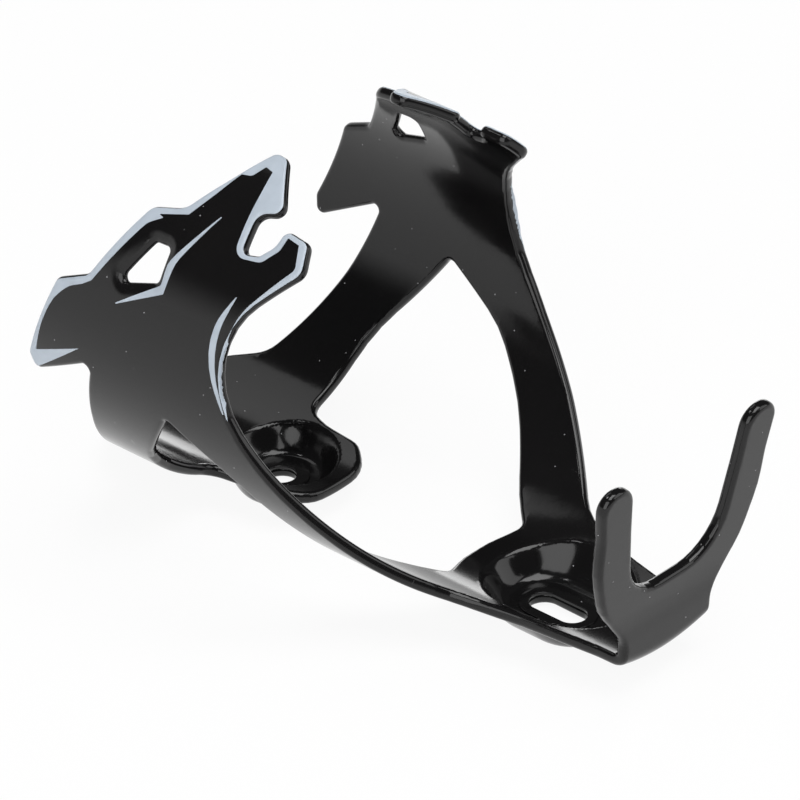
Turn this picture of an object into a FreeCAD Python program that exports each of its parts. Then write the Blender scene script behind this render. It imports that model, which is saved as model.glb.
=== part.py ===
# Bicycle bottle cage: a moulded wall wrapped round the bottle, millimetres.
# X across the cage, +Y along the bottle to its mouth, +Z away from the bicycle.
# Origin in the round bolt hole, where it meets the mounting plane.
import FreeCAD
import Part
import math
import os
from FreeCAD import Vector

Vector2d = FreeCAD.Base.Vector2d

# sizes that drive everything else
boltSpacing = 64.0
boltHoleRadius = 2.65
slotLength = 11.4
boreRadius = 36.2        # inside of the wall, the bottle's grip
wall = 2.2
edgeRound = 0.75
standOff = 4.0           # outside of the wall above the mounting plane
floorThick = 2.2         # under each bolt head
cupFloorRadius = 7.0
cupRimRadius = 10.2
dishFloorHalfWidth = 6.2
dishFloorHalfLength = 9.6
dishRimHalfWidth = 12.0
dishRimHalfLength = 13.8
skirtWall = 1.3          # cup side, measured along the mounting plane
neckHalfWidth = 11.35    # where the lower panel bends up into the foot
footWall = 2.4
heelRound = 3.4
heelClear = 4.2          # from the long cup's rim to the heel's seam
heelReach = 6.4          # from that seam to the far face of the foot
footSeamZ = 12.0
footLean = 7.5           # degrees the foot leans back above the bend
footLeanRadius = 40.0
prongSeamZ = 24.0
flexAngle = 45.0         # angle round the bottle of the line each arm flexes about
flexGap = 0.2            # clearance left at that line
mountAngle = 20.0        # side seams of the upper mount panel
baseAngle = 27.0         # side seams of the lower mount panel
armAngle = 72.0          # the legs end and the side panel begins

outerRadius = boreRadius + wall
bottleAxisHeight = outerRadius + standOff
heelSeamY = -(boltSpacing / 2 + dishRimHalfLength + heelClear)
footFaceY = heelSeamY - heelReach  # the face that stops the bottle
neckAngle = math.degrees(math.asin(neckHalfWidth / boreRadius))
perDegree = math.radians(boreRadius)
armFlexAngle = flexAngle + flexGap / perDegree

# Corners as (angle from the bottom round the bottle, y, corner radius), left side.
outlineCorners = [
    (14, 65.0, 6), (24.5, 59.6, 9), (31, 52.8, 6), (61.6, 45.4, 60), (84, 41.0, 1.0),
    (72.4, 55.4, 1.6), (78.2, 56.3, 1.8), (104.2, 49.3, 2.0), (108.7, 42.7, 2.2),
    (131.6, 34.6, 3.0), (134.6, 28.3, 4.0),
    (146.5, 23.3, 30), (158.2, 19.2, 1.6), (157.8, 16.4, 1.9), (143.0, 9.6, 1.7),
    (140.6, 14.2, 2.0), (130.0, 13.4, 1.2), (131.2, 10.2, 1.3), (135.0, 8.1, 3.0),
    (140.2, 7.8, 1.6), (139.2, 2.2, 1.8), (131.2, 0.3, 2.4),
    (114, 9.7, 20), (100, 11.5, 20), (87, 9.2, 25), (73.1, 2.3, 60),
    (55.4, -8.5, 80), (27.5, -24.2, 14), (22.4, -35.2, 60),
    (neckAngle, heelSeamY, 8), (neckAngle - 0.6, heelSeamY - 8, 2)]
tongueCorners = [(10.5, 18.6, 7), (17.2, 23.5, 5), (18.2, 31.5, 15), (20.5, 36.5, 3),
                 (48.5, 36.0, 20), (77.0, 24.2, 1.4)]
lowerOpeningCorners = [(64.5, 10.6, 25), (47.8, 0.9, 80), (24.0, -9.9, 40),
                       (15.6, -15.4, 2.0), (5.0, -13.0, 12)]
forkCorners = [(neckHalfWidth, 4, 0), (neckHalfWidth, 11.9, 6), (17.9, 19.8, 14),
               (20.9, 29.0, 20), (21.2, 36.0, 20), (22.8, 46.0, 3.9), (14.9, 46.0, 3.9),
               (13.6, 36.0, 20), (11.0, 19.9, 11)]
windowCorners = [(109.6, 36.6, 1.0), (114.0, 28.1, 1.2), (123.8, 27.9, 1.0),
                 (123.6, 31.4, 1.0)]

# Seams as straight lines from (angle, y) to (angle, y), each ending clear of the wall.
mountSeam = ((mountAngle, 30), (mountAngle, 70))
flexSeam = ((flexAngle, 30), (flexAngle, 60))
armFlexSeam = ((armFlexAngle, 30), (armFlexAngle, 60))
armSeam = ((armAngle, 25.3), (armAngle, 50))
baseSeam = ((baseAngle, -30), (baseAngle, 0))
lowFlexSeam = ((flexAngle, -30), (flexAngle, 10))
lowArmFlexSeam = ((armFlexAngle, -30), (armFlexAngle, 10))
lowArmSeam = ((armAngle, -5), (armAngle, 22))
neckSeam = ((25, heelSeamY), (-25, heelSeamY))
tabSeam = ((80.5, 43.0), (111, 44.5))
upperBladeSeam = ((136.5, 30), (131.5, 12.5))
lowerBladeSeam = ((132.2, 11.2), (126.5, 0.5))


def mirrorSeam(seam):
    return tuple((-a, y) for a, y in seam)


def closedOutline(corners, step=0.35):
    """Points round a closed outline with every corner rounded, in millimetres."""
    pts = [(a * perDegree, y) for a, y, r in corners]
    run = []
    for i, (a, y, r) in enumerate(corners):
        p, q, n = pts[i - 1], pts[i], pts[(i + 1) % len(pts)]
        back = (p[0] - q[0], p[1] - q[1])
        ahead = (n[0] - q[0], n[1] - q[1])
        lb, la = math.hypot(*back), math.hypot(*ahead)
        back = (back[0] / lb, back[1] / lb)
        ahead = (ahead[0] / la, ahead[1] / la)
        half = math.acos(max(-1, min(1, back[0] * ahead[0] + back[1] * ahead[1]))) / 2
        trim = min(r / math.tan(half), 0.48 * lb, 0.48 * la)
        r = trim * math.tan(half)
        bis = (back[0] + ahead[0], back[1] + ahead[1])
        size = math.hypot(*bis)
        away = r / math.sin(half)
        c = (q[0] + bis[0] / size * away, q[1] + bis[1] / size * away)
        start = math.atan2(q[1] + back[1] * trim - c[1], q[0] + back[0] * trim - c[0])
        end = math.atan2(q[1] + ahead[1] * trim - c[1], q[0] + ahead[0] * trim - c[0])
        sweep = (end - start + math.pi) % (2 * math.pi) - math.pi
        parts = max(2, int(math.ceil(abs(sweep) / step)))
        for k in range(parts + 1):
            t = start + sweep * k / parts
            run.append((c[0] + r * math.cos(t), c[1] + r * math.sin(t)))
    out = []
    for p, n in zip(run, run[1:] + run[:1]):
        extra = int(math.dist(p, n) // 2.5)
        for k in range(extra + 1):
            t = k / (extra + 1)
            out.append((p[0] + (n[0] - p[0]) * t, p[1] + (n[1] - p[1]) * t))
    return out


def insetOutline(run, depth):
    """The outline moved into the material, which lies on the right as the run goes round."""
    out = []
    for i, p in enumerate(run):
        a, b = run[i - 1], run[(i + 1) % len(run)]
        dx, dy = b[0] - a[0], b[1] - a[1]
        size = math.hypot(dx, dy)
        out.append((p[0] + dy / size * depth, p[1] - dx / size * depth))
    return out


def crossings(run, seam):
    """Where a closed run meets a seam, as (place along the run, point), in order."""
    (a0, y0), (a1, y1) = seam
    s0, s1 = a0 * perDegree, a1 * perDegree
    found = []
    for i, p in enumerate(run):
        n = run[(i + 1) % len(run)]
        side0 = (s1 - s0) * (p[1] - y0) - (y1 - y0) * (p[0] - s0)
        side1 = (s1 - s0) * (n[1] - y0) - (y1 - y0) * (n[0] - s0)
        if side0 * side1 > 0 or side0 == side1:
            continue
        t = side0 / (side0 - side1)
        q = (p[0] + (n[0] - p[0]) * t, p[1] + (n[1] - p[1]) * t)
        along = ((q[0] - s0) * (s1 - s0) + (q[1] - y0) * (y1 - y0))
        if 0 <= along <= (s1 - s0) ** 2 + (y1 - y0) ** 2:
            found.append((i + t, q))
    return found


def stretch(run, start, end):
    """The run's points from one (seam, which crossing) forward to another."""
    (placeA, a), (placeB, b) = [crossings(run, seam)[k] for seam, k in (start, end)]
    if placeB < placeA:
        placeB += len(run)
    middle = [run[i % len(run)] for i in range(int(placeA) + 1, int(placeB) + 1)]
    middle = [p for p in middle if math.dist(p, a) > 0.25 and math.dist(p, b) > 0.25]
    return [a] + middle + [b]


def wallSurface(radius):
    surface = Part.Cylinder()
    surface.Radius = radius
    return surface


def wallAngle(s, y, radius):
    """Edges are square to the wall, and turn to straight down along the lower panel."""
    angle = s / boreRadius
    blend = max(0.0, min(1.0, (-25.0 - y) / 12.0))
    blend = blend * blend * (3 - 2 * blend)
    if blend == 0:
        return angle
    return angle + (math.asin(boreRadius * math.sin(angle) / radius) - angle) * blend


def edgeOn(pts, radius):
    """A smooth edge through these points, made flat in millimetres and then wrapped."""
    flat = [Vector2d(wallAngle(s, y, radius) * boreRadius, y) for s, y in pts]
    if len(flat) == 2:
        ends = [Vector2d(math.pi + p.x / boreRadius, p.y) for p in flat]
        return Part.Geom2d.Line2dSegment(*ends).toShape(wallSurface(radius))
    closed = pts[0] == pts[-1]
    curve = Part.Geom2d.BSplineCurve2d()
    curve.interpolate(flat[:-1] if closed else flat, closed)
    for i, p in enumerate(curve.getPoles()):
        curve.setPole(i + 1, Vector2d(math.pi + p.x / boreRadius, p.y))
    return curve.toShape(wallSurface(radius))


def levels():
    """How far each layer of the wall is set in from the outline, giving rounded edges."""
    out = []
    for t in (0, 30, 60, 90):
        t = math.radians(t)
        out.append((boreRadius + edgeRound * (1 - math.cos(t)), edgeRound * (1 - math.sin(t))))
    return out + [(outerRadius - (r - boreRadius), d) for r, d in reversed(out)]


def wallPiece(pieces, holes=()):
    """A piece of the wall: each entry is (outline, start, end), joined end to end by seams."""
    rings = []
    for radius, depth in levels():
        runs = [stretch(insetOutline(o, depth), a, b) for o, a, b in pieces]
        edges = []
        for i, run in enumerate(runs):
            edges += [edgeOn(run, radius), edgeOn([run[-1], runs[(i + 1) % len(runs)][0]], radius)]
        inner = []
        for hole in holes:
            loop = insetOutline(hole, depth)
            inner.append([edgeOn(loop + loop[:1], radius)])
        rings.append((radius, [edges] + inner))
    faces = []
    for radius, loops in (rings[0], rings[-1]):
        skin = Part.Face(wallSurface(radius), Part.Wire(loops[0]))
        skin.validate()
        for loop in loops[1:]:
            skin = Part.Face(skin, Part.Wire(loop))
            skin.validate()
        faces.append(skin)
    for (r0, below), (r1, above) in zip(rings, rings[1:]):
        for loopA, loopB in zip(below, above):
            faces += [Part.makeRuledSurface(p, q) for p, q in zip(loopA, loopB)]
    shell = Part.makeShell(faces)
    solid = Part.makeSolid(shell)
    if solid.Volume < 0:
        solid = Part.makeSolid(shell.reversed())
    return solid


def toFrame(shape):
    """From the wall's own axes to the part's: its Z becomes Y and its X becomes Z."""
    turn = FreeCAD.Matrix(0, 1, 0, 0, 0, 0, 1, 0, 1, 0, 0, bottleAxisHeight, 0, 0, 0, 1)
    moved = shape.copy()
    moved.Placement = FreeCAD.Placement(turn)
    return moved


def mirrorCorners(corners):
    return [(-a, y, r) for a, y, r in reversed(corners)]


def flip(shape):
    return shape.mirror(Vector(0, 0, 0), Vector(1, 0, 0))


outline = closedOutline(outlineCorners + mirrorCorners(outlineCorners))
openingCorners = lowerOpeningCorners[::-1] + tongueCorners[::-1]
opening = closedOutline(openingCorners + mirrorCorners(openingCorners))
window = closedOutline(windowCorners)
first, last = 0, -1


def wallNodes():
    """Left and middle pieces of the wall, by name."""
    mountOther, baseOther = mirrorSeam(mountSeam), mirrorSeam(baseSeam)
    plan = {
        "upper_mount": [(outline, (mountOther, first), (mountSeam, first)),
                        (opening, (mountSeam, first), (mountOther, first))],
        "left_bridge": [(outline, (mountSeam, first), (flexSeam, first)),
                        (opening, (flexSeam, first), (mountSeam, first))],
        "left_upper_leg": [(outline, (armFlexSeam, first), (armSeam, first)),
                           (opening, (armSeam, first), (armFlexSeam, first))],
        "left_lower_leg": [(opening, (lowArmFlexSeam, first), (lowArmSeam, first)),
                           (outline, (lowArmSeam, first), (lowArmFlexSeam, first))],
        "left_strut": [(opening, (baseSeam, first), (lowFlexSeam, first)),
                       (outline, (lowFlexSeam, first), (baseSeam, first))],
        "lower_mount": [(opening, (baseOther, first), (baseSeam, first)),
                        (outline, (baseSeam, first), (neckSeam, first)),
                        (outline, (neckSeam, last), (baseOther, first))],
        "left_side_panel": [(outline, (armSeam, first), (tabSeam, first)),
                            (outline, (tabSeam, last), (upperBladeSeam, first)),
                            (outline, (upperBladeSeam, last), (lowerBladeSeam, first)),
                            (outline, (lowerBladeSeam, last), (lowArmSeam, first)),
                            (opening, (lowArmSeam, first), (armSeam, first))],
        "left_tab": [(outline, (tabSeam, first), (tabSeam, last))],
        "left_upper_blade": [(outline, (upperBladeSeam, first), (upperBladeSeam, last))],
        "left_lower_blade": [(outline, (lowerBladeSeam, first), (lowerBladeSeam, last))],
    }
    made = {}
    for name, pieces in plan.items():
        holes = [window] if name == "left_side_panel" else []
        made[name] = toFrame(wallPiece(pieces, holes))
    return made


def bottleSpace(length=200.0):
    """The inside of the wall as a solid, along the whole cage."""
    return Part.makeCylinder(boreRadius, length, Vector(0, -length / 2, bottleAxisHeight),
                             Vector(0, 1, 0))


def slotShape(halfWidth, halfLength, z):
    """A round-ended outline lying flat, long way along Y."""
    straight = halfLength - halfWidth
    a, b = Vector(halfWidth, -straight, z), Vector(halfWidth, straight, z)
    c, d = Vector(-halfWidth, straight, z), Vector(-halfWidth, -straight, z)
    top, bottom = Vector(0, halfLength, z), Vector(0, -halfLength, z)
    return Part.Wire([Part.makeLine(a, b), Part.Arc(b, top, c).toShape(),
                      Part.makeLine(c, d), Part.Arc(d, bottom, a).toShape()])


def upperMount(panel):
    """The upper panel with its round cup and bolt hole."""
    y = boltSpacing / 2
    rimZ = bottleAxisHeight - boreRadius
    slope = (cupRimRadius - cupFloorRadius) / (rimZ - floorThick)
    centre, up = Vector(0, y, 0), Vector(0, 0, 1)
    base = cupFloorRadius + skirtWall
    skirt = Part.makeCone(base, base + 0.42 * rimZ, rimZ, centre, up)
    skirt = skirt.cut(bottleSpace())
    top = rimZ + 3
    hollow = Part.makeCone(cupFloorRadius, cupFloorRadius + slope * (top - floorThick),
                           top - floorThick, Vector(0, y, floorThick), up)
    hole = Part.makeCylinder(boltHoleRadius, 20, Vector(0, y, -5), up)
    return panel.fuse(skirt).cut(hollow).cut(hole)


def lowerMount(panel):
    """The lower panel with its long dish and slotted bolt hole."""
    y = Vector(0, -boltSpacing / 2, 0)
    rimZ = bottleAxisHeight - boreRadius
    high = rimZ + 3
    grow = (high - floorThick) / (rimZ + 0.9 - floorThick)
    skirt = Part.makeLoft([
        slotShape(dishFloorHalfWidth + skirtWall, dishFloorHalfLength + skirtWall, 0),
        slotShape(dishRimHalfWidth + 0.9, dishRimHalfLength + 0.9, rimZ)], True, True)
    hollow = Part.makeLoft([
        slotShape(dishFloorHalfWidth, dishFloorHalfLength, floorThick),
        slotShape(dishFloorHalfWidth + grow * (dishRimHalfWidth - dishFloorHalfWidth),
                  dishFloorHalfLength + grow * (dishRimHalfLength - dishFloorHalfLength),
                  high)], True, True)
    slot = Part.Face(slotShape(boltHoleRadius, slotLength / 2, -5)).extrude(Vector(0, 0, 20))
    for shape in (skirt, hollow, slot):
        shape.translate(y)
    skirt = skirt.cut(bottleSpace())
    return panel.fuse(skirt).cut(hollow).cut(slot)


def roundedWire(corners, y):
    """A closed outline standing across the cage, with true arcs at its corners."""
    pts = [(x, z) for x, z, r in corners]
    ends, edges = [], []
    for i, (x, z, r) in enumerate(corners):
        q = Vector(x, y, z)
        back = Vector(pts[i - 1][0], y, pts[i - 1][1]) - q
        ahead = Vector(pts[(i + 1) % len(pts)][0], y, pts[(i + 1) % len(pts)][1]) - q
        lb, la = back.Length, ahead.Length
        back.normalize()
        ahead.normalize()
        if r == 0:
            ends.append((q, q))
            continue
        half = back.getAngle(ahead) / 2
        trim = min(r / math.tan(half), 0.49 * lb, 0.49 * la)
        away = trim / math.cos(half)
        r = trim * math.tan(half)
        middle = (back + ahead).normalize() * (away - r) + q
        a, b = q + back * trim, q + ahead * trim
        edges.append(Part.Arc(a, middle, b).toShape())
        ends.append((a, b))
    for (a, b), (c, d) in zip(ends, ends[1:] + ends[:1]):
        if (b - c).Length > 1e-6:
            edges.append(Part.makeLine(b, c))
    return Part.Wire(Part.__sortEdges__(edges))


def softened(shape, wanted, radius):
    return shape.makeFillet(radius, [e for e in shape.Edges if wanted(e)])


def heel():
    """The bend from the lower panel up to the foot."""
    faceY, innerY = footFaceY, footFaceY + footWall
    length = heelSeamY - faceY + 5
    outer = Part.makeCylinder(outerRadius, length, Vector(0, faceY, bottleAxisHeight),
                              Vector(0, 1, 0))
    inner = Part.makeCylinder(boreRadius, length, Vector(0, innerY, bottleAxisHeight),
                              Vector(0, 1, 0))
    outer = softened(outer, lambda e: abs(e.BoundBox.YMin - faceY) < 0.01
                     and e.BoundBox.YLength < 0.01, heelRound)
    inner = softened(inner, lambda e: abs(e.BoundBox.YMin - innerY) < 0.01
                     and e.BoundBox.YLength < 0.01, heelRound - footWall)
    block = Part.makeBox(2 * neckHalfWidth, heelSeamY - faceY + 1, footSeamZ,
                         Vector(-neckHalfWidth, faceY - 1, 0))
    bend = outer.cut(inner).common(block)

    def alongSide(e):
        return abs(abs(e.CenterOfMass.x) - neckHalfWidth) < 0.01 and e.Length > 0.5 and not (
            abs(e.CenterOfMass.y - heelSeamY) < 0.01 or abs(e.CenterOfMass.z - footSeamZ) < 0.01)

    return softened(bend, alongSide, edgeRound)


def foot():
    """The fork that stops the bottle, flat below and leaning back above."""
    low, high = 2.0, 50.0
    y, lean, r = footFaceY, footSeamZ, footLeanRadius
    turn = math.radians(footLean)

    def lineAt(offset):
        reach = r + offset

        def onArc(a):
            return Vector(0, y - r + reach * math.cos(a), lean + reach * math.sin(a))

        bent = onArc(turn)
        top = bent + Vector(0, -math.tan(turn), 1) * (high - bent.z)
        return [Vector(0, y + offset, low), onArc(0), onArc(turn / 2), bent, top]

    a, b = lineAt(0), lineAt(footWall)
    side = Part.Wire([Part.makeLine(a[0], a[1]), Part.Arc(*a[1:4]).toShape(),
                      Part.makeLine(a[3], a[4]), Part.makeLine(a[4], b[4]),
                      Part.makeLine(b[4], b[3]), Part.Arc(*b[3:0:-1]).toShape(),
                      Part.makeLine(b[1], b[0]), Part.makeLine(b[0], a[0])])
    plate = Part.Face(side).extrude(Vector(60, 0, 0))
    plate.translate(Vector(-30, 0, 0))
    shape = forkCorners + [(-x, z, rr) for x, z, rr in reversed(forkCorners)]
    fork = Part.Face(roundedWire(shape, -80)).extrude(Vector(0, 60, 0))
    blank = plate.common(fork)
    return softened(blank, lambda e: e.BoundBox.ZMax > low + 3 and e.BoundBox.YLength
                    < e.BoundBox.ZLength + e.BoundBox.XLength - 0.5, edgeRound)


def cutBetween(shape, low, high):
    """The part of a shape between two heights."""
    block = Part.makeBox(100, 100, high - low, Vector(-50, -100, low))
    return shape.common(block)


def buildAll():
    made = wallNodes()
    made["upper_mount"] = upperMount(made["upper_mount"])
    made["lower_mount"] = lowerMount(made["lower_mount"])
    made["heel"] = heel()
    fork = foot()
    made["foot"] = cutBetween(fork, footSeamZ, prongSeamZ)
    prongs = cutBetween(fork, prongSeamZ, 60)
    made["left_prong"] = min(prongs.Solids, key=lambda s: s.CenterOfMass.x)
    for name in [n for n in made if n.startswith("left_")]:
        made["right_" + name[5:]] = flip(made[name])
    return made


if __name__ == "__main__":
    os.makedirs("parts", exist_ok=True)
    for node, shape in buildAll().items():
        if len(shape.Solids) != 1:
            raise RuntimeError(f"{node} came out as {len(shape.Solids)} solids")
        solid = shape.Solids[0].copy()
        solid.translate(Vector(0, -boltSpacing / 2, 0))
        if not solid.isValid():
            raise RuntimeError(f"{node} isn't a valid solid")
        solid.exportStep(f"parts/{node}.step")
        print(node, round(solid.Volume, 1))
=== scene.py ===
import math

import bpy
from mathutils import Matrix, Vector


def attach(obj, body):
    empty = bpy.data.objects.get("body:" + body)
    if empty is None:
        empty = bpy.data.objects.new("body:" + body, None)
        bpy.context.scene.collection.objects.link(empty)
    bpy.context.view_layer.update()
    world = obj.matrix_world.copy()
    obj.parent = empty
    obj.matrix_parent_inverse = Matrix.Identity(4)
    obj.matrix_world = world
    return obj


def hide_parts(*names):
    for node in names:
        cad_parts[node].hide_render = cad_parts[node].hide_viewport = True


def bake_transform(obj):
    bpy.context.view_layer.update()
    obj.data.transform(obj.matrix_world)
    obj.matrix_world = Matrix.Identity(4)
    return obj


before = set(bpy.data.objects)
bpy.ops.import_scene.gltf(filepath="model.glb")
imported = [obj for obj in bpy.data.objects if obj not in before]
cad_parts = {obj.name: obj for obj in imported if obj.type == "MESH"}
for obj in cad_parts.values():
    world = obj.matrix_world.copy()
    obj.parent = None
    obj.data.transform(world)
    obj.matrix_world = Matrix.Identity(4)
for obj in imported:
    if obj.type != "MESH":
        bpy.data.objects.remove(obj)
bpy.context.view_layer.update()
print("frame loaded:", len(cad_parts), "CAD nodes")

scene = bpy.context.scene
mm = 0.001

# The moulding is drawn flat in millimetres, then wrapped round the bottle.
cage = {
    "bore": 36.2, "wall": 2.14, "footWall": 2.36, "axisHeight": 42.4,
    "originShift": -32.0,        # origin sits in the round bolt hole
    "edgeRound": 0.86, "edgeSteps": 4,
    "gridStep": 0.9, "cupGridStep": 0.5,
    "cupCurve": 1.35,            # higher keeps the cup's wall up near the rim for longer
    "standClear": 0.02,          # the cups stop this far above the mounting face
    "uprightFrom": -25.0, "uprightOver": 12.0,       # towards the heel the wall's thickness turns upright
    "bendStart": -53.0, "bendRadius": 2.2, "heelInside": 1.02, "fadeOver": 9.0,
    "leanStart": 12.0, "lean": 7.5, "leanRadius": 40.0,
    "armSplit": 37.0,            # degrees round the bottle where the arms become their own pieces
    "armEnd": 158.0,
    "flexFrom": 38.5, "flexTo": 52.0,                # degrees between which an arm's skin was to bend; the script only works out its end points
}
perDegree = math.radians(cage["bore"])
weld = {"outline": 0.003, "cut": 0.0001, "skin": 0.004}      # closer points are merged


def deg(angle, y, r):
    return (angle * perDegree, y, r)


# right half of the outline, from the mouth lip round the panel and down to the fork
outlineHalf = [
    deg(14, 65.0, 6), deg(24.5, 59.6, 9), deg(31, 52.8, 6), deg(61.6, 45.4, 60),
    deg(84, 41.0, 1.0), deg(72.4, 55.4, 1.6), deg(78.2, 56.3, 1.8), deg(104.2, 49.3, 2.0),
    deg(108.7, 42.7, 2.2), deg(131.6, 34.6, 3.0), deg(134.6, 28.3, 4.0),
    deg(146.5, 23.3, 30), deg(158.2, 19.2, 1.6), deg(157.8, 16.4, 1.9), deg(143.0, 9.6, 1.7),
    deg(140.6, 14.2, 2.0), deg(130.0, 13.4, 1.2), deg(131.2, 10.2, 1.3), deg(135.0, 8.1, 3.0),
    deg(140.2, 7.8, 1.6), deg(139.2, 2.2, 1.8), deg(131.2, 0.3, 2.4),
    deg(114, 9.7, 20), deg(100, 11.5, 20), deg(87, 9.2, 25), deg(73.1, 2.3, 60),
    deg(55.4, -8.5, 80), deg(27.5, -24.2, 14), deg(22.4, -35.2, 60),
    (11.5, -50.0, 8), (11.3, -60.5, 6), (17.9, -69.0, 14), (20.9, -78.3, 20),
    (21.2, -85.4, 20), (22.8, -95.3, 3.9), (14.9, -95.3, 3.9), (13.6, -85.4, 20),
    (11.0, -69.1, 11)]
openingHalf = [
    deg(5.0, -13.0, 12), deg(15.6, -15.4, 2.0), deg(24.0, -9.9, 40), deg(47.8, 0.9, 80),
    deg(64.5, 10.6, 25), deg(77.0, 24.2, 1.4), deg(48.5, 36.0, 20), deg(20.5, 36.5, 3),
    deg(18.2, 31.5, 15), deg(17.2, 23.5, 5), deg(10.5, 18.6, 7)]
windowCorners = [deg(109.6, 36.6, 1.0), deg(114.0, 28.1, 1.2), deg(123.8, 27.9, 1.0),
                 deg(123.6, 31.4, 1.0)]
upperCup = {"y": 32.0, "floorZ": 2.2, "floorHalf": (6.6, 6.6), "rimHalf": (10.3, 10.3),
            "spread": -0.2, "holeHalf": (2.65, 2.65)}
lowerCup = {"y": -32.0, "floorZ": 2.2, "floorHalf": (6.0, 9.4), "rimHalf": (12.0, 13.8),
            "spread": -0.3, "holeHalf": (2.65, 5.7)}


def mirrored(corners):
    return [(-s, y, r) for s, y, r in reversed(corners)]


def cornerArc(before, corner, after, turnStep=0.22, mostOfSide=0.48):
    # the arc that rounds one corner of a flat outline, limited to just under half of each side
    x, y, r = corner
    q = Vector((x, y))
    back, ahead = Vector(before[:2]) - q, Vector(after[:2]) - q
    lengthBack, lengthAhead = back.length, ahead.length
    back.normalize()
    ahead.normalize()
    half = back.angle(ahead) / 2
    trim = min(r / math.tan(half), mostOfSide * lengthBack, mostOfSide * lengthAhead)
    r = trim * math.tan(half)
    centre = q + (back + ahead).normalized() * (r / math.sin(half))
    first, final = q + back * trim - centre, q + ahead * trim - centre
    start, end = math.atan2(first.y, first.x), math.atan2(final.y, final.x)
    sweep = (end - start + math.pi) % (2 * math.pi) - math.pi
    parts = max(2, math.ceil(abs(sweep) / turnStep))
    turns = [start + sweep * k / parts for k in range(parts + 1)]
    return [(centre.x + r * math.cos(t), centre.y + r * math.sin(t)) for t in turns]


def roundedLoop(corners):
    points = []
    for i, corner in enumerate(corners):
        points += cornerArc(corners[i - 1], corner, corners[(i + 1) % len(corners)])
    return points


def roundedPath(corners):
    points = [corners[0][:2]]
    for i in range(1, len(corners) - 1):
        points += cornerArc(corners[i - 1], corners[i], corners[i + 1])
    return points + [corners[-1][:2]]


def stretchOf(loop, start, end):
    # the run of an outline between the points nearest to start and end
    first = min(range(len(loop)), key=lambda i: math.dist(loop[i], start))
    final = min(range(len(loop)), key=lambda i: math.dist(loop[i], end))
    return loop[first:final + 1]


def movedIn(path, amount):
    # an open run of outline points, set in towards its right side, where the wall is
    points = []
    for i, p in enumerate(path):
        a, b = Vector(path[max(i - 1, 0)]), Vector(path[min(i + 1, len(path) - 1)])
        side = -(b - a).normalized().orthogonal()
        points.append((p[0] + side.x * amount, p[1] + side.y * amount))
    return points


def distanceTo(loop, x, y):
    best = math.inf
    for i in range(len(loop)):
        ax, ay = loop[i - 1]
        bx, by = loop[i]
        dx, dy = bx - ax, by - ay
        long = dx * dx + dy * dy
        t = max(0.0, min(1.0, ((x - ax) * dx + (y - ay) * dy) / long)) if long else 0.0
        best = min(best, math.hypot(x - ax - dx * t, y - ay - dy * t))
    return best


def roundEnded(halfWidth, halfLength, y, parts=12):
    # a circle, or a slot with its long way along the bottle
    straight = halfLength - halfWidth
    points = []
    for k in range(4 * parts):
        t = 2 * math.pi * (k + 0.5) / (4 * parts)
        points.append((halfWidth * math.cos(t),
                       y + halfWidth * math.sin(t) + math.copysign(straight, math.sin(t))))
    return points


def clearSelection():
    if bpy.context.mode != "OBJECT":
        bpy.ops.object.mode_set(mode="OBJECT")
    bpy.ops.object.select_all(action="DESELECT")


def makeActive(obj):
    clearSelection()
    obj.select_set(True)
    bpy.context.view_layer.objects.active = obj


def flatPlate(name, loops, thickness, rounding=0.0, roundSteps=3, base=0.0):
    # filled flat curve with depth and rounded edges, turned into a mesh
    curve = bpy.data.curves.new(name, "CURVE")
    curve.dimensions = "2D"
    curve.fill_mode = "BOTH"
    for loop in loops:
        spline = curve.splines.new("POLY")
        spline.points.add(len(loop) - 1)
        for point, (x, y) in zip(spline.points, loop):
            point.co = (x, y, 0, 1)
        spline.use_cyclic_u = True
    curve.bevel_depth = rounding
    curve.bevel_resolution = roundSteps
    curve.extrude = thickness / 2 - rounding
    curve.offset = -rounding
    obj = bpy.data.objects.new(name, curve)
    scene.collection.objects.link(obj)
    makeActive(obj)
    bpy.ops.object.convert(target="MESH")
    obj = bpy.context.view_layer.objects.active
    bpy.ops.object.mode_set(mode="EDIT")
    bpy.ops.mesh.select_all(action="SELECT")
    bpy.ops.mesh.remove_doubles(threshold=weld["outline"])
    bpy.ops.mesh.normals_make_consistent(inside=False)
    bpy.ops.transform.translate(value=(0, 0, base + thickness / 2))
    bpy.ops.object.mode_set(mode="OBJECT")
    return obj


def sliceAt(obj, places, axis):
    # straight cuts right across, so that the sheet can bend between them
    makeActive(obj)
    bpy.ops.object.mode_set(mode="EDIT")
    normal = (1, 0, 0) if axis == "x" else (0, 1, 0)
    for place in places:
        bpy.ops.mesh.select_all(action="SELECT")
        spot = (place, 0, 0) if axis == "x" else (0, place, 0)
        bpy.ops.mesh.bisect(plane_co=spot, plane_no=normal, threshold=weld["cut"])
    bpy.ops.object.mode_set(mode="OBJECT")


def steps(low, high, size):
    count = max(1, round((high - low) / size))
    return [low + (high - low) * k / count for k in range(count + 1)]


def smooth(t):
    t = max(0.0, min(1.0, t))
    return t * t * (3 - 2 * t)


def cupShare(cup, x, y, t):
    # 0 outside the rim, 1 on the cup's floor, for a round or long cup
    dy = abs(y - cup["y"])
    grow = cup["spread"] * t
    (floorW, floorL), (rimW, rimL) = cup["floorHalf"], cup["rimHalf"]
    if abs(x) > rimW + grow or dy > rimL + grow:
        return 0.0
    u = 0.5
    for attempt in range(4):                     # closes in on the ring that passes through x, y
        u = max(0.0, min(1.0, u))
        width = rimW + grow + (floorW - rimW) * u
        straight = (rimL - rimW) + ((floorL - floorW) - (rimL - rimW)) * u
        reach = math.hypot(x, max(dy - straight, 0))
        u += (width - reach) / (rimW - floorW)
    u = max(0.0, min(1.0, u))
    return math.sin(math.pi / 2 * u) ** cage["cupCurve"]


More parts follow.
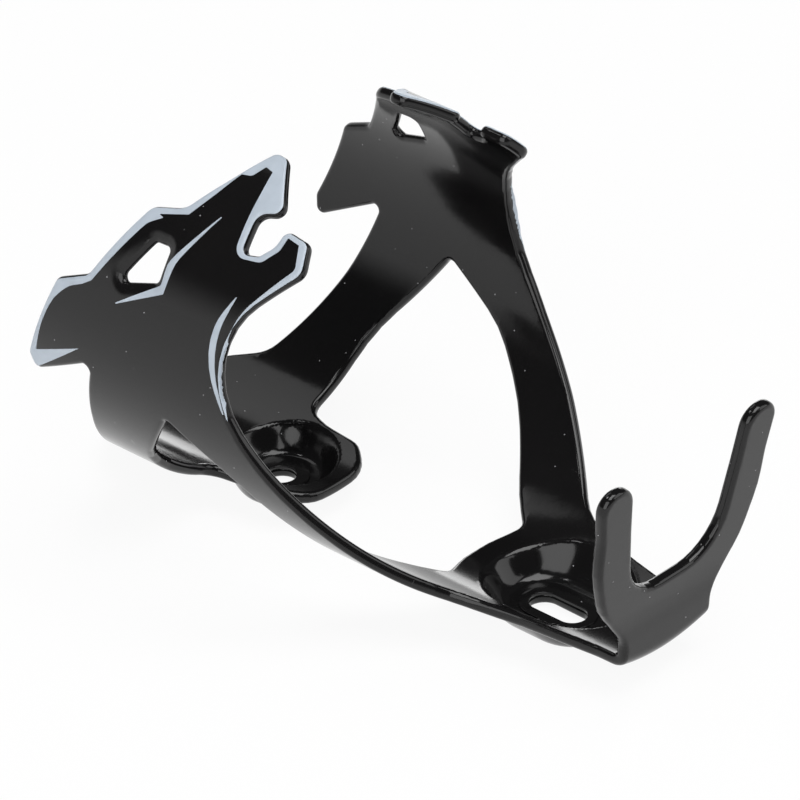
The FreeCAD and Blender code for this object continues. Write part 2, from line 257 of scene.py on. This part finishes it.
def wrapPoint(s, v, depth):
    # flat drawing to frame: s round the bottle, v along it, depth through the wall
    bore, height = cage["bore"], cage["axisHeight"]
    t = depth / cage["wall"]
    angle = s / bore
    if v > cage["bendStart"]:
        upright = smooth((cage["uprightFrom"] - v) / cage["uprightOver"])
        radius = bore + depth
        if upright > 0:
            angle += (math.asin(bore * math.sin(angle) / radius) - angle) * upright
        x, z, y = radius * math.sin(angle), height - radius * math.cos(angle), v
        for cup in (upperCup, lowerCup):
            share = cupShare(cup, x, y, t)
            if share:
                z += (cup["floorZ"] * (1 - t) + cage["standClear"] - z) * share
        return Vector((x, y + cage["originShift"], z)) * mm
    # bend up into the foot: the panel's own curve fades out as the foot rises
    wide = cage["footWall"] / cage["wall"]
    along = cage["bendStart"] - v
    quarter = cage["bendRadius"] * math.pi / 2
    fade = smooth(along / cage["fadeOver"])
    xCurved = bore * math.sin(angle)
    x = xCurved + (s - xCurved) * fade
    rise = (bore - math.sqrt(bore * bore - xCurved * xCurved)) * (1 - fade)
    inner = cage["heelInside"]
    out = depth * (1 + (wide - 1) * fade)
    if along < quarter:
        turn = along / cage["bendRadius"]
        reach = inner + out
        y = cage["bendStart"] - reach * math.sin(turn)
        z = height - bore + inner - reach * math.cos(turn)
        tilt = rise + (math.sqrt(bore * bore - xCurved * xCurved)
                       - math.sqrt((bore + depth) ** 2 - xCurved * xCurved) + depth) * (1 - fade)
        z += tilt * math.cos(turn) + rise * (1 - math.cos(turn))
    else:
        y = cage["bendStart"] - inner - out
        z = height - bore + inner + (along - quarter) + rise
        over = z - cage["leanStart"]
        if over > 0:
            # round the lean's bend, then straight on
            turn = min(over / cage["leanRadius"], math.radians(cage["lean"]))
            straight = over - turn * cage["leanRadius"]
            back = cage["leanRadius"] + cage["footWall"] - out
            y = (cage["bendStart"] - inner - cage["footWall"] - cage["leanRadius"]
                 + back * math.cos(turn) - straight * math.sin(turn))
            z = cage["leanStart"] + back * math.sin(turn) + straight * math.cos(turn)
    return Vector((x, y + cage["originShift"], z)) * mm


def wrap(obj):
    for vertex in obj.data.vertices:
        vertex.co = wrapPoint(*vertex.co)
    obj.data.update()


def keepBetween(source, name, cuts):
    # a copy of the sheet with what lies past each cut taken off and the end closed
    makeActive(source)
    bpy.ops.object.duplicate()
    obj = bpy.context.view_layer.objects.active
    obj.name = obj.data.name = name
    bpy.ops.object.mode_set(mode="EDIT")
    for spot, normal in cuts:
        bpy.ops.mesh.select_all(action="SELECT")
        bpy.ops.mesh.bisect(plane_co=spot, plane_no=normal, use_fill=True, clear_outer=True,
                            threshold=weld["cut"])
    bpy.ops.object.mode_set(mode="OBJECT")
    return obj


def otherSide(obj, name):
    # the same flat piece for the other arm
    makeActive(obj)
    bpy.ops.object.duplicate()
    twin = bpy.context.view_layer.objects.active
    twin.name = twin.data.name = name
    twin.data.transform(Matrix.Scale(-1, 4, (1, 0, 0)))
    return twin


def finishSkin(obj, material, sharpFrom=50):
    # smooth shading that stays flat on the wide faces and crisp at the closed ends
    makeActive(obj)
    bpy.ops.object.mode_set(mode="EDIT")
    bpy.ops.mesh.select_all(action="SELECT")
    bpy.ops.mesh.remove_doubles(threshold=weld["skin"] * mm)
    bpy.ops.mesh.normals_make_consistent(inside=False)
    bpy.ops.object.mode_set(mode="OBJECT")
    bpy.ops.object.shade_smooth_by_angle(angle=math.radians(sharpFrom))
    bpy.ops.object.modifier_add(type="WEIGHTED_NORMAL")
    obj.modifiers[-1].keep_sharp = True
    bpy.ops.object.modifier_apply(modifier=obj.modifiers[-1].name)
    obj.data.materials.clear()
    obj.data.materials.append(material)


# two finishes: gloss black moulding and pale grey print
def newMaterial(name):
    material = bpy.data.materials.new(name)
    material.use_nodes = True
    nodes, links = material.node_tree.nodes, material.node_tree.links
    return material, nodes, links, nodes["Principled BSDF"]


def maths(nodes, links, operation, first, second):
    # one maths node, where each side is a socket or a plain number
    node = nodes.new("ShaderNodeMath")
    node.operation = operation
    for side, value in zip(node.inputs, (first, second)):
        if isinstance(value, bpy.types.NodeSocket):
            links.new(value, side)
        else:
            side.default_value = value
    return node.outputs["Value"]


def colourMix(nodes, links, share, first, second):
    # one colour mix, where each colour is a socket or a plain value
    node = nodes.new("ShaderNodeMix")
    node.data_type = "RGBA"
    links.new(share, node.inputs["Factor"])
    for side, value in ((node.inputs[6], first), (node.inputs[7], second)):
        if isinstance(value, bpy.types.NodeSocket):
            links.new(value, side)
        else:
            side.default_value = value
    return node.outputs[2]


def noise(nodes, links, size, detail):
    node = nodes.new("ShaderNodeTexNoise")
    node.inputs["Scale"].default_value = size
    node.inputs["Detail"].default_value = detail
    links.new(nodes.new("ShaderNodeTexCoord").outputs["Object"], node.inputs["Vector"])
    return node.outputs["Fac"]


def stretched(nodes, links, value, taken, given=(0.0, 1.0)):
    # one range of values stretched to another
    node = nodes.new("ShaderNodeMapRange")
    links.new(value, node.inputs["Value"])
    node.inputs["From Min"].default_value, node.inputs["From Max"].default_value = taken
    node.inputs["To Min"].default_value, node.inputs["To Max"].default_value = given
    return node


def addGrain(nodes, links, shader, height, strength, depth):
    bump = nodes.new("ShaderNodeBump")
    bump.inputs["Strength"].default_value = strength
    bump.inputs["Distance"].default_value = depth
    links.new(height, bump.inputs["Height"])
    links.new(bump.outputs["Normal"], shader.inputs["Normal"])


plastic = {"colour": (0.0045, 0.0045, 0.005, 1), "warmer": (0.0075, 0.007, 0.007, 1),
           "cloudSize": 45.0, "cloudDetail": 4.0,           # slow change of colour over the moulding
           "roughness": (0.09, 0.15), "roughSize": 120.0, "roughDetail": 6.0, "roughTaken": (0.3, 0.7),
           "peelSize": 700.0, "peelDetail": 2.0, "peel": 0.03, "peelDepth": 0.0002,
           "dust": (0.34, 0.34, 0.35, 1), "dustSpacing": 420.0, "dustSize": 0.05, "cleanShare": 0.35,
           "ior": 1.43}


def glossBlackPlastic():
    material, nodes, links, shader = newMaterial("glossBlackPlastic")
    cloud = noise(nodes, links, plastic["cloudSize"], plastic["cloudDetail"])
    tint = colourMix(nodes, links, cloud, plastic["colour"], plastic["warmer"])

    specks = nodes.new("ShaderNodeTexVoronoi")   # dust: one tiny speck in some of the cells
    specks.inputs["Scale"].default_value = plastic["dustSpacing"]
    links.new(nodes.new("ShaderNodeTexCoord").outputs["Object"], specks.inputs["Vector"])
    near = maths(nodes, links, "LESS_THAN", specks.outputs["Distance"], plastic["dustSize"])
    chosen = nodes.new("ShaderNodeSeparateColor")
    links.new(specks.outputs["Color"], chosen.inputs["Color"])
    some = maths(nodes, links, "GREATER_THAN", chosen.outputs["Red"], plastic["cleanShare"])
    speck = maths(nodes, links, "MULTIPLY", near, some)
    links.new(colourMix(nodes, links, speck, tint, plastic["dust"]), shader.inputs["Base Color"])

    rough = stretched(nodes, links, noise(nodes, links, plastic["roughSize"], plastic["roughDetail"]),
                   plastic["roughTaken"], plastic["roughness"])
    links.new(rough.outputs["Result"], shader.inputs["Roughness"])
    peel = noise(nodes, links, plastic["peelSize"], plastic["peelDetail"])
    addGrain(nodes, links, shader, peel, plastic["peel"], plastic["peelDepth"])
    shader.inputs["IOR"].default_value = plastic["ior"]
    return material


border = {"colour": (0.47, 0.53, 0.60, 1), "worn": (0.40, 0.455, 0.52, 1), "roughness": 0.34,
          "grainSize": 320.0, "grainDetail": 8.0, "wornTaken": (0.45, 0.85),
          "grain": 0.08, "grainDepth": 0.0001,
          "proud": 0.045, "sunk": 0.12, "edgeGap": 0.3, "grid": 0.2, "streakGrid": 0.6}


def greyPrint():
    material, nodes, links, shader = newMaterial("greyPrint")
    grain = noise(nodes, links, border["grainSize"], border["grainDetail"])
    worn = stretched(nodes, links, grain, border["wornTaken"]).outputs["Result"]
    links.new(colourMix(nodes, links, worn, border["colour"], border["worn"]), shader.inputs["Base Color"])
    addGrain(nodes, links, shader, grain, border["grain"], border["grainDepth"])
    shader.inputs["Roughness"].default_value = border["roughness"]
    return material


blackPlastic, printedGrey = glossBlackPlastic(), greyPrint()

# the moulding in four skins, each cut from one flat plate
outline = roundedLoop(outlineHalf + mirrored(outlineHalf))
window = roundedLoop(windowCorners)
cageLoops = [outline, roundedLoop(openingHalf + mirrored(openingHalf)),
             window, roundedLoop(mirrored(windowCorners)),
             roundEnded(*upperCup["holeHalf"], upperCup["y"]),
             roundEnded(*lowerCup["holeHalf"], lowerCup["y"])]
sheet = flatPlate("sheet", cageLoops, cage["wall"], cage["edgeRound"], cage["edgeSteps"])
split, armEnd = cage["armSplit"] * perDegree, cage["armEnd"] * perDegree
middle = keepBetween(sheet, "middle", [((split, 0, 0), (1, 0, 0)), ((-split, 0, 0), (-1, 0, 0))])
upperSkin = keepBetween(middle, "upper_mount_skin", [((0, 0, 0), (0, -1, 0))])
lowerSkin = keepBetween(middle, "lower_mount_and_foot_skin", [((0, 0, 0), (0, 1, 0))])
rightSkin = keepBetween(sheet, "right_arm_skin", [((split, 0, 0), (-1, 0, 0))])
for spare in (sheet, middle):
    bpy.data.objects.remove(spare)

# rows of cuts in the flat skins, as first place, last place and spacing: fine where they curve
coarse, fine = cage["gridStep"], cage["cupGridStep"]
cutRows = {
    "middleAcross": ((-13.5, 13.5, fine),),
    "sideAcross": ((14, split - 0.6, coarse), (split - 0.3, split - 0.1, 0.2)),
    "upperAlong": ((21, 43, fine), (44, 64, 2.0)),
    "lowerAlong": ((-95, -62, 1.5), (-61.6, -49, 0.4), (-47, -17, fine), (-15, -13, 2.0)),
    "armAcross": ((split + 0.1, split + 0.3, 0.2), (split + 0.8, 66.5, coarse), (67, 80.5, 0.5),
                  (81.3, armEnd, coarse)),
    "armAlong": ((-8, 24, 4.0), (25.5, 39, 0.5), (42, 54, 4.0))}
cutPlaces = {name: [place for run in runs for place in steps(*run)] for name, runs in cutRows.items()}
across = [-s for s in cutPlaces["sideAcross"]] + cutPlaces["middleAcross"] + cutPlaces["sideAcross"]
for skin, places, axis in ((upperSkin, across, "x"), (upperSkin, cutPlaces["upperAlong"], "y"),
                           (lowerSkin, across, "x"), (lowerSkin, cutPlaces["lowerAlong"], "y"),
                           (rightSkin, cutPlaces["armAcross"], "x"), (rightSkin, cutPlaces["armAlong"], "y")):
    sliceAt(skin, places, axis)

sinkAround = {"depth": 0.5, "reach": 2.4}        # the dished edge round each window


def sunkBy(x, y):
    return sinkAround["depth"] * smooth(1 - distanceTo(window, x, y) / sinkAround["reach"])


for vertex in rightSkin.data.vertices:
    if vertex.co.z > cage["wall"] / 2:
        vertex.co.z -= sunkBy(vertex.co.x, vertex.co.y)
leftSkin = otherSide(rightSkin, "left_arm_skin")
print("moulding cut into four skins:", [len(o.data.polygons) for o in
                                         (upperSkin, lowerSkin, rightSkin, leftSkin)])

for skin in (upperSkin, lowerSkin, rightSkin, leftSkin):
    wrap(skin)
    finishSkin(skin, blackPlastic)
print("skins wrapped round the bottle")

# ledges on the cup floors, under the bolt heads
ledges = {"top": 2.5, "foot": 1.9, "rounding": 0.12, "roundSteps": 2, "parts": 16,
          "upper_ledge": (upperCup, (5.1, 5.1), (2.72, 2.72)),         # outer and hole half sizes
          "lower_ledge": (lowerCup, (4.75, 7.5), (2.72, 5.77))}
for name in ("upper_ledge", "lower_ledge"):
    cup, outer, hole = ledges[name]
    rings = [roundEnded(*half, cup["y"], ledges["parts"]) for half in (outer, hole)]
    ledge = flatPlate(name, rings, ledges["top"] - ledges["foot"], ledges["rounding"],
                      ledges["roundSteps"], base=ledges["foot"])
    for vertex in ledge.data.vertices:
        vertex.co = (vertex.co + Vector((0, cage["originShift"], 0))) * mm
    finishSkin(ledge, blackPlastic)
    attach(ledge, "frame_side")
print("ledges set on the cup floors")

# grey border and streaks printed on the outside of each arm
bandInner = [deg(87.4, 43.2, 0), deg(80.4, 54.0, 0.1), deg(89.8, 52.1, 30),
             deg(98.8, 49.4, 20), deg(103.6, 46.2, 6), deg(105.6, 43.4, 4), deg(107.6, 41.5, 0.3),
             deg(127.2, 33.9, 4), deg(130.0, 31.2, 0.1), deg(130.3, 32.5, 0.1),
             deg(133.3, 26.8, 0.4), deg(140.6, 24.0, 30), deg(148.3, 21.9, 0.2),
             deg(149.0, 19.9, 1.2), deg(152.8, 18.7, 0.2), deg(152.2, 16.9, 0.2),
             deg(146.0, 16.2, 2.5), deg(139.6, 15.7, 2.5), deg(128.3, 14.7, 2.2),
             deg(129.7, 9.0, 2.2), deg(134.4, 6.6, 2.0), deg(138.2, 6.4, 0.2),
             deg(137.6, 3.7, 0.2), deg(131.6, 2.0, 1.2), deg(117.3, 8.6, 14),
             deg(111.7, 10.2, 14), deg(104.9, 10.8, 30), deg(96.0, 10.7, 30), deg(86.6, 8.9, 0)]
cheekStreak = [deg(103.5, 36.7, 0.1), deg(114.0, 26.9, 0.8), deg(119.8, 27.0, 3.0),
               deg(129.5, 23.1, 20), deg(139.3, 19.4, 0.1), deg(129.3, 22.5, 20),
               deg(120.7, 25.3, 6), deg(112.2, 25.8, 0.3)]
throatStreak = [deg(120.7, 10.6, 0.1), deg(111.3, 13.7, 12), deg(103.1, 13.9, 20),
                deg(96.0, 12.5, 20), deg(86.4, 9.2, 0.1), deg(96.6, 11.5, 20),
                deg(103.8, 12.5, 20), deg(110.9, 12.3, 12)]


def onSkin(x, y, outwards):
    # height of the outer skin under a printed point: it falls away at the rounded edge
    r = cage["edgeRound"]
    away = min(distanceTo(outline, x, y), r)
    reach = r + max(outwards, 0)
    depth = cage["wall"] - r + math.sqrt(reach * reach - (r - away) ** 2)
    return depth - sunkBy(x, y) + min(outwards, 0)


bandStart, bandEnd = deg(74.3, 54.8, 0)[:2], deg(87.0, 8.2, 0)[:2]
outerRun = movedIn(stretchOf(outline, bandStart, bandEnd), border["edgeGap"])
bandLoop = outerRun + roundedPath(bandInner)[::-1]
films = []
for name, loop in (("border", bandLoop), ("cheek_streak", roundedLoop(cheekStreak)),
                   ("throat_streak", roundedLoop(throatStreak))):
    film = flatPlate("right_arm_" + name, [loop], border["proud"] + border["sunk"])
    xs, ys = [p[0] for p in loop], [p[1] for p in loop]
    grid = border["grid"] if name == "border" else border["streakGrid"]
    sliceAt(film, steps(min(xs), max(xs), grid)[1:-1], "x")
    sliceAt(film, steps(min(ys), max(ys), grid)[1:-1], "y")
    for vertex in film.data.vertices:
        x, y, z = vertex.co
        vertex.co.z = onSkin(x, y, z - border["sunk"])
    twin = otherSide(film, "left_arm_" + name)
    for piece, arm in ((film, "right_arm"), (twin, "left_arm")):
        wrap(piece)
        finishSkin(piece, printedGrey)
        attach(piece, arm)
        films.append(piece)
print("printed border and streaks laid on both arms:", sum(len(f.data.polygons) for f in films))

# the mount skins hang from the frame's body, and the CAD pieces the skins stand for are hidden
for skin in (upperSkin, lowerSkin):
    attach(skin, "frame_side")
for skin, sign, side in ((leftSkin, -1, "left"), (rightSkin, 1, "right")):
    ends = [wrapPoint(sign * cage[key] * perDegree, 0, cage["wall"] / 2)
            for key in ("flexFrom", "flexTo")]
    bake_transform(skin)
    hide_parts(*[side + part for part in ("_upper_leg", "_lower_leg", "_side_panel", "_tab",
                                                 "_upper_blade", "_lower_blade")])
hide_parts("upper_mount", "left_bridge", "right_bridge")
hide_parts("lower_mount", "left_strut", "right_strut", "heel", "foot",
            "left_prong", "right_prong")

# white sweep with soft lamps round it
studio = {"floorSize": 12.0, "floorHeight": -0.0004, "softWhite": 0.92,
          "floorColour": (0.95, 0.95, 0.95, 1), "floorRoughness": 0.9,
          "sky": (1.0, 0.05), "skyTaken": (0.0, 0.3),       # white round the horizon, dark overhead
          "aim": (0, -0.03, 0.03),
          "lamps": (  # name, place, size, power
              ("topSoftbox", (0.1, -0.35, 1.6), (1.2, 0.9), 16.0),
              ("frontSoftbox", (-1.5, -0.5, 1.0), (1.6, 1.4), 18.0),
              ("sideSoftbox", (1.0, -1.2, 1.1), (1.2, 1.2), 8.0),
              ("smallLamp", (-0.45, 0.55, 1.5), (0.16, 0.16), 0.7),
              ("backSoftbox", (0.35, 0.95, 1.25), (0.8, 0.5), 1.4),
              ("lowCard", (0.98, 0.72, 0.11), (0.55, 0.2), 0.9))}
clearSelection()
bpy.ops.mesh.primitive_plane_add(size=studio["floorSize"], location=(0, 0, studio["floorHeight"]))
floor = bpy.context.view_layer.objects.active
floor.name = "studio_floor"
floorPaint, nodes, links, shader = newMaterial("floorPaper")
shader.inputs["Base Color"].default_value = studio["floorColour"]
shader.inputs["Roughness"].default_value = studio["floorRoughness"]
rays = nodes.new("ShaderNodeLightPath")
seen = rays.outputs["Is Camera Ray"]
for kind in ("Is Glossy Ray", "Is Transmission Ray"):
    seen = maths(nodes, links, "MAXIMUM", seen, rays.outputs[kind])
glow = nodes.new("ShaderNodeEmission")
glow.inputs["Strength"].default_value = 1.0
both = nodes.new("ShaderNodeMixShader")
links.new(maths(nodes, links, "MULTIPLY", seen, studio["softWhite"]), both.inputs["Fac"])
links.new(shader.outputs["BSDF"], both.inputs[1])
links.new(glow.outputs["Emission"], both.inputs[2])
links.new(both.outputs["Shader"], nodes["Material Output"].inputs["Surface"])
floor.data.materials.append(floorPaint)

world = bpy.data.worlds.new("studioWorld")
scene.world = world
world.use_nodes = True
nodes, links = world.node_tree.nodes, world.node_tree.links
direction = nodes.new("ShaderNodeSeparateXYZ")
links.new(nodes.new("ShaderNodeTexCoord").outputs["Generated"], direction.inputs["Vector"])
rise = stretched(nodes, links, direction.outputs["Z"], studio["skyTaken"], studio["sky"])
rise.interpolation_type = "SMOOTHSTEP"
links.new(rise.outputs["Result"], nodes["Background"].inputs["Strength"])
nodes["Background"].inputs["Color"].default_value = (1, 1, 1, 1)

for name, place, size, power in studio["lamps"]:
    light = bpy.data.lights.new(name, "AREA")
    light.shape = "RECTANGLE"
    light.size, light.size_y = size
    light.energy = power
    lamp = bpy.data.objects.new(name, light)
    lamp.location = place
    towards = Vector(studio["aim"]) - lamp.location
    lamp.rotation_euler = towards.to_track_quat("-Z", "Y").to_euler()
    lamp.visible_camera = False
    scene.collection.objects.link(lamp)
print("studio lit")

# camera
eye = {"place": (-0.7182, -0.6656, 0.6120), "right": (0.66579, -0.74615, 0.00391),
       "up": (0.38520, 0.34819, 0.85465), "lens": 295.45, "sensor": 36.0,
       "shift": 0.0037, "clip": (0.01, 100.0)}
right, up = Vector(eye["right"]).normalized(), Vector(eye["up"]).normalized()
back = right.cross(up).normalized()
up = back.cross(right)
cameraData = bpy.data.cameras.new("camera")
cameraData.lens, cameraData.sensor_width = eye["lens"], eye["sensor"]
cameraData.clip_start, cameraData.clip_end = eye["clip"]
cameraData.shift_y = eye["shift"]
camera = bpy.data.objects.new("camera", cameraData)
turn = Matrix((right, up, back)).transposed().to_4x4()
camera.matrix_world = Matrix.Translation(eye["place"]) @ turn
scene.collection.objects.link(camera)
scene.camera = camera

scene.view_settings.view_transform = "Standard"
